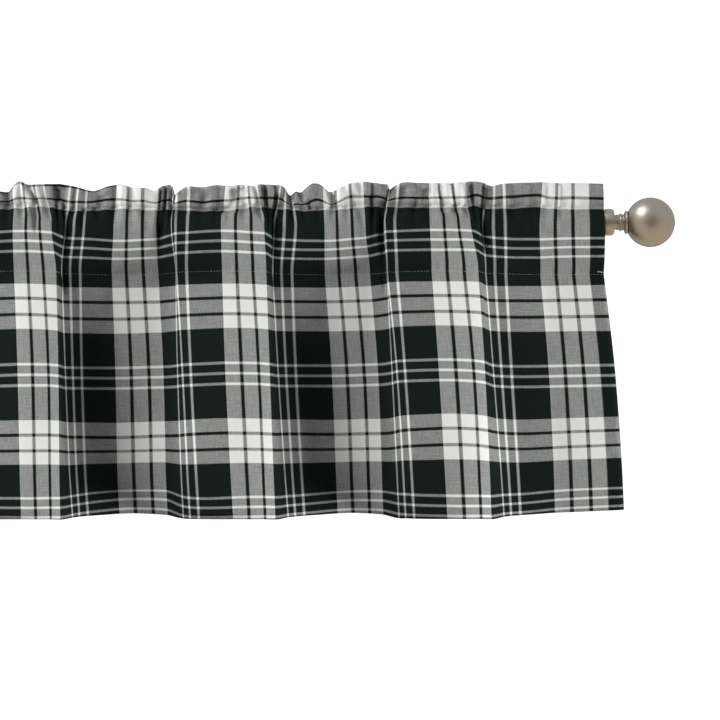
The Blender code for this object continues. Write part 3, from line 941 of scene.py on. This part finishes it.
def stitch_tree(finish):
    """Geometry nodes that set a short rounded stitch along every pitch of a line."""
    tree = bpy.data.node_groups.new("lock_stitches", "GeometryNodeTree")
    face = tree.interface
    face.new_socket("Geometry", in_out="INPUT", socket_type="NodeSocketGeometry")
    for name in ("Pitch", "Stitch Length", "Stitch Width"):
        face.new_socket(name, in_out="INPUT", socket_type="NodeSocketFloat")
    face.new_socket("Geometry", in_out="OUTPUT", socket_type="NodeSocketGeometry")
    steps = Nodes(tree)
    given = steps.add("NodeGroupInput").outputs
    line = steps.add("GeometryNodeMeshToCurve", {"Mesh": given["Geometry"]}).outputs["Curve"]
    spacing = {"Curve": line, "Length": given["Pitch"]}
    spaced = steps.add("GeometryNodeResampleCurve", spacing, mode="LENGTH")
    along = steps.add("GeometryNodeInputTangent").outputs["Tangent"]
    turn = steps.add("FunctionNodeAlignRotationToVector", {"Vector": along}, axis="X")
    stitch = steps.add("GeometryNodeMeshUVSphere", {"Segments": 6, "Rings": 4, "Radius": 0.5})
    width = given["Stitch Width"]
    size = steps.add("ShaderNodeCombineXYZ", {"X": given["Stitch Length"], "Y": width, "Z": width})
    spots = {
        "Points": spaced.outputs["Curve"],
        "Instance": stitch.outputs["Mesh"],
        "Rotation": turn.outputs["Rotation"],
        "Scale": size.outputs["Vector"],
    }
    laid = steps.add("GeometryNodeInstanceOnPoints", spots).outputs["Instances"]
    laid = steps.add("GeometryNodeRealizeInstances", {"Geometry": laid}).outputs["Geometry"]
    laid = steps.add("GeometryNodeSetMaterial", {"Geometry": laid, "Material": finish})
    steps.add("NodeGroupOutput", {"Geometry": laid.outputs["Geometry"]})
    return tree


def plain_mesh(carrier):
    """The mesh that an object's curve or modifier gives. The object itself is removed."""
    graph = bpy.context.evaluated_depsgraph_get()
    mesh = bpy.data.meshes.new_from_object(carrier.evaluated_get(graph))
    bpy.data.objects.remove(carrier, do_unlink=True)
    return mesh


def stitched_line(name, points, tree):
    """A row of stitches along a line of points, as a plain mesh."""
    path = bpy.data.meshes.new(name + "_path")
    path.from_pydata((points * MM).tolist(), [(k, k + 1) for k in range(len(points) - 1)], [])
    carrier = in_scene(name + "_path", path)
    modifier = carrier.modifiers.new("stitches", "NODES")
    modifier.node_group = tree
    sizes = {"Pitch": STITCH_PITCH, "Stitch Length": STITCH_LENGTH, "Stitch Width": STITCH_WIDTH}
    for item in tree.interface.items_tree:
        if item.in_out == "INPUT" and item.name in sizes:
            modifier[item.identifier] = sizes[item.name] * MM
    mesh = plain_mesh(carrier)
    mesh.name = name
    return in_scene(name, mesh)


stitches = stitch_tree(thread)
thread_lift = CLOTH / 2 - STITCH_SUNK
sewn = []
for name, row in (("upper_stitching", HEADING_ROWS), ("lower_stitching", HEADING_ROWS + POCKET_ROWS)):
    on_face = front_points[row] - normal[row] * thread_lift
    sewn.append(stitched_line(name, on_face[1:-1], stitches))

# The tail: the thread's loose end, a few millimetres long, hanging out over the side hem
TAIL_THICKNESS = 1.0
tail_start = front_points[HEADING_ROWS + POCKET_ROWS - 1][-4]
tail_steps = ((0.0, -0.4, 0.0), (1.2, -1.3, 0.4), (2.8, -1.5, 0.1), (4.2, -1.4, -0.5), (5.2, -1.1, -0.3))
tail_curve = bpy.data.curves.new("thread_tail", "CURVE")
tail_curve.dimensions = "3D"
tail_curve.bevel_depth = TAIL_THICKNESS / 2 * MM
tail_curve.bevel_resolution = 2
tail_curve.use_fill_caps = True
tail_spline = tail_curve.splines.new("NURBS")
tail_spline.points.add(len(tail_steps) - 1)
for spot, step in zip(tail_spline.points, tail_steps):
    spot.co = (*((tail_start + np.array(step)) * MM), 1.0)
tail_spline.use_endpoint_u = True
tail_spline.order_u = 3
tail_mesh = plain_mesh(in_scene("thread_tail_curve", tail_curve))
tail_mesh.materials.append(thread)
sewn.append(in_scene("thread_tail", tail_mesh))

for piece in sewn:
    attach(piece, "root")

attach(valance, "root")
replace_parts(valance, "valance")

# ---------------------------------------------------------------- the rod's brushed nickel
# The rod, caps, necks and balls are steel with a satin nickel plate. It is brushed round the rod's axis,
# so fine rings lie across it, and it is a little warmer where the plate has dulled.
BRUSH_LINES = (2600.0, 120.0, 120.0)  # to the metre, along the rod and round it
NICKEL_COLOURS = ((0.38, 0.35, 0.305, 1.0), (0.47, 0.445, 0.40, 1.0))
nickel, metal = new_finish("satin_nickel")
place = metal.add("ShaderNodeTexCoord").outputs["Object"]
brushed = metal.add("ShaderNodeMapping", {"Vector": place, "Scale": BRUSH_LINES}).outputs[0]
rings = metal.noise(brushed, 1.0, 3.0)
clouds = metal.noise(place, 45.0)
rough = metal.math("ADD", 0.34, metal.math("MULTIPLY", metal.math("ADD", rings, clouds), 0.06))
metal_bump = metal.add("ShaderNodeBump", {"Strength": 0.12, "Distance": 0.0001, "Height": rings})
metal.finish(Base_Color=metal.mix(clouds, *NICKEL_COLOURS), Roughness=rough, Metallic=1.0)
metal.finish(Normal=metal_bump.outputs["Normal"])
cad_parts["rod"].data.materials.clear()
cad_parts["rod"].data.materials.append(nickel)

# ---------------------------------------------------------------- end caps, necks and balls
# Turned metal, one of each at both ends of the rod. The cap is a collar over the tube's end, the neck has
# fine ribs and opens into a shallow seat, and the ball is screwed down on the seat.
CAP_START, CAP_LENGTH, CAP_RADIUS = 536.2, 9.4, 13.6
NECK_START, NECK_LENGTH, NECK_RADIUS = 545.9, 11.6, 7.6
Rib = namedtuple("Rib", "place half_width height")
RIBS = (Rib(3.3, 0.9, 0.8), Rib(6.6, 1.5, 1.6), Rib(9.3, 0.8, 0.8))
SEAT_RADIUS = 11.9
SEAT_GAP = 0.3
SEAT_REACH = 0.42  # of the ball's radius
BALL_RADIUS = 25.4
TURNED_STEPS = 96
BALL_STEPS, RIB_STEPS, SEAT_STEPS = 64, 8, 5
SHARP_ANGLE = 40


def arc(x, radius, start, end, steps, bend):
    """Rows of a round edge of the given bend, from one angle to another, about (x, radius)."""
    angles = [math.radians(start + (end - start) * k / steps) for k in range(steps + 1)]
    return [(x + bend * math.cos(a), radius + bend * math.sin(a)) for a in angles]


def turned_piece(name, profile, side):
    """A closed piece turned about the X axis, from rows of (x, radius) that start and end on the axis."""
    verts, faces, rings = [], [], []
    for x, radius in profile:
        count = 1 if radius == 0.0 else TURNED_STEPS
        rings.append((len(verts), count))
        for k in range(count):
            angle = 2 * math.pi * k / TURNED_STEPS
            verts.append((side * x * MM, radius * math.cos(angle) * MM, radius * math.sin(angle) * MM))
    for (a, first), (b, second) in zip(rings, rings[1:]):
        for k in range(TURNED_STEPS):
            after = (k + 1) % TURNED_STEPS
            corners = [a + (k if first > 1 else 0), b + (k if second > 1 else 0)]
            corners += [b + after] if second > 1 else []
            corners += [a + after] if first > 1 else []
            faces.append(corners if side < 0 else corners[::-1])
    mesh = bpy.data.meshes.new(name)
    mesh.from_pydata(verts, [], faces)
    mesh.shade_smooth()
    mesh.set_sharp_from_angle(angle=math.radians(SHARP_ANGLE))
    mesh.materials.append(nickel)
    made = in_scene(name, mesh)
    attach(made, "root")
    return made


cap_end = CAP_START + CAP_LENGTH
bore = 13.0
cap_profile = [(cap_end - 1.8, 0.0), (cap_end - 1.8, bore), (CAP_START, bore)]
cap_profile += arc(CAP_START + 0.35, CAP_RADIUS - 0.35, 180, 90, 4, 0.35)
cap_profile += arc(cap_end - 1.9, CAP_RADIUS - 0.4, 90, 20, 4, 0.4)
cap_profile += [(cap_end - 1.45, CAP_RADIUS - 0.9)]
cap_profile += arc(cap_end - 0.5, CAP_RADIUS - 1.5, 90, 0, 4, 0.5)
cap_profile += [(cap_end, 0.0)]

ribbed = NECK_LENGTH - 1.0
neck_profile = [(NECK_START, 0.0), (NECK_START, NECK_RADIUS)]
for rib in RIBS:
    for step in range(RIB_STEPS + 1):
        angle = math.pi * step / RIB_STEPS
        out = NECK_RADIUS + rib.height * math.sin(angle)
        neck_profile.append((NECK_START + rib.place - rib.half_width * math.cos(angle), out))
seat_start = NECK_START + NECK_LENGTH
neck_profile += [(NECK_START + ribbed, NECK_RADIUS), (seat_start - 1.0, SEAT_RADIUS - 1.5)]
neck_profile += arc(seat_start + 0.2, SEAT_RADIUS - 0.7, 150, 90, 4, 0.7)
neck_profile += arc(seat_start + 1.3, SEAT_RADIUS - 0.7, 90, 10, 4, 0.7)
ball_middle = NECK_START + NECK_LENGTH + BALL_RADIUS
hollow = BALL_RADIUS + SEAT_GAP
for k in range(SEAT_STEPS):
    angle = math.asin(SEAT_REACH) * (SEAT_STEPS - k) / SEAT_STEPS
    neck_profile.append((ball_middle - hollow * math.cos(angle), hollow * math.sin(angle)))
neck_profile.append((ball_middle - hollow, 0.0))

ball_profile = []
for k in range(BALL_STEPS + 1):
    angle = math.pi * k / BALL_STEPS
    away = 0.0 if k in (0, BALL_STEPS) else BALL_RADIUS * math.sin(angle)
    ball_profile.append((ball_middle - BALL_RADIUS * math.cos(angle), away))

for word, side in (("left", -1), ("right", 1)):
    for piece, node, profile in (
        ("cap", "end_cap", cap_profile),
        ("neck", "finial_neck", neck_profile),
        ("ball", "finial_ball", ball_profile),
    ):
        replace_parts(turned_piece(f"{piece}_{word}", profile, side), f"{node}_{word}")

# ---------------------------------------------------------------- room
# A pale floor that curves up into a wall all round, far from the valance. It throws no light on it, and
# is bright enough by itself to show no shadow of it.
pale, pale_nodes = new_finish("pale_room")
pale_nodes.finish(Base_Color=(0.6, 0.6, 0.6, 1.0), Roughness=1.0)
pale_nodes.finish(Emission_Color=(1.0, 1.0, 1.0, 1.0), Emission_Strength=0.9)
FLOOR_Z, FLOOR_RADIUS, COVE, WALL_TOP = -0.95, 4.8, 1.2, 7.0
ROOM_STEPS = 64
room_profile = [(0.01, FLOOR_Z)]
for degrees in range(0, 91, 10):
    a = math.radians(degrees)
    room_profile.append((FLOOR_RADIUS + COVE * math.sin(a), FLOOR_Z + COVE - COVE * math.cos(a)))
room_profile.append((FLOOR_RADIUS + COVE, WALL_TOP))
round_room = [2 * math.pi * k / ROOM_STEPS for k in range(ROOM_STEPS)]
room_verts = [(r * math.cos(a), r * math.sin(a), z) for r, z in room_profile for a in round_room]
room_faces = []
for low in range(0, len(room_verts) - ROOM_STEPS, ROOM_STEPS):
    high = low + ROOM_STEPS
    for k in range(ROOM_STEPS):
        after = (k + 1) % ROOM_STEPS
        room_faces.append((low + k, low + after, high + after, high + k))
room_faces.append(tuple(range(ROOM_STEPS - 1, -1, -1)))
room_mesh = bpy.data.meshes.new("room")
room_mesh.from_pydata(room_verts, [], room_faces)
room_mesh.flip_normals()
room_mesh.shade_smooth()
room_mesh.materials.append(pale)
room = in_scene("room", room_mesh)
room.visible_diffuse = False
room.visible_glossy = False
room.visible_shadow = False

# ---------------------------------------------------------------- light
# Two softboxes on the left, a low one and a weak high one on the right, and one behind. A small one above
# on the left gives the metal its soft gleam.
CLOTH_MIDDLE = (0.25, 0.0, -0.14)
Softbox = namedtuple("Softbox", "name place target size watts on_cloth on_metal")
for box in (
    Softbox("key", (-2.25, -2.10, 0.32), CLOTH_MIDDLE, 1.1, 58.0, True, False),
    Softbox("left end", (-2.56, -0.50, 1.51), CLOTH_MIDDLE, 1.1, 66.0, True, False),
    Softbox("side", (3.33, -0.82, -0.99), CLOTH_MIDDLE, 1.1, 100.0, True, False),
    Softbox("fill", (2.44, -1.84, 1.51), CLOTH_MIDDLE, 1.1, 14.0, True, False),
    Softbox("rear", (0.0, 3.3, 0.9), (0.0, 0.0, -0.14), 2.4, 70.0, True, False),
    Softbox("gleam", (-0.92, -0.84, 1.81), (0.58, 0.0, 0.0), 0.95, 30.0, False, True),
):
    light_data = bpy.data.lights.new(box.name, "AREA")
    light_data.size = box.size
    light_data.energy = box.watts
    light = in_scene(box.name, light_data)
    light.location = box.place
    toward = np.array(box.target) - np.array(box.place)
    yaw = math.atan2(toward[1], toward[0]) - math.pi / 2
    pitch = math.atan2(math.hypot(toward[0], toward[1]), -toward[2])
    light.rotation_euler = (pitch, 0.0, yaw)
    light.visible_camera = False
    light.visible_diffuse = box.on_cloth
    light.visible_glossy = box.on_metal

# The sky is even and weak for the cloth. The metal sees a warmer one, darker in front and behind.
world = bpy.data.worlds.new("studio")
world.use_nodes = True
sky = Nodes(world.node_tree)
looked = sky.add("ShaderNodeTexCoord").outputs["Generated"]
split = sky.add("ShaderNodeSeparateXYZ", {"Vector": looked}).outputs
height = sky.add("ShaderNodeMapRange", {"Value": split["Z"], "From Min": -0.7, "From Max": 0.7})
tone = sky.add("ShaderNodeValToRGB", {"Fac": height.outputs["Result"]})
tone.color_ramp.elements[0].color = (0.80, 0.68, 0.54, 1.0)
tone.color_ramp.elements[1].color = (0.62, 0.62, 0.60, 1.0)
depth = sky.math("MULTIPLY", split["Y"], split["Y"])
ahead = sky.add("ShaderNodeMapRange", {"Value": depth, "From Min": 0.55, "From Max": 0.98})
for_metal = sky.mix(ahead.outputs["Result"], tone.outputs["Color"], (0.20, 0.16, 0.13, 1.0))
by_metal = sky.add("ShaderNodeLightPath").outputs["Is Glossy Ray"]
seen = sky.mix(by_metal, (0.20, 0.20, 0.20, 1.0), for_metal)
sky.put(sky.tree.nodes["Background"].inputs["Color"], seen)
bpy.context.scene.world = world
bpy.context.scene.view_settings.view_transform = "Standard"
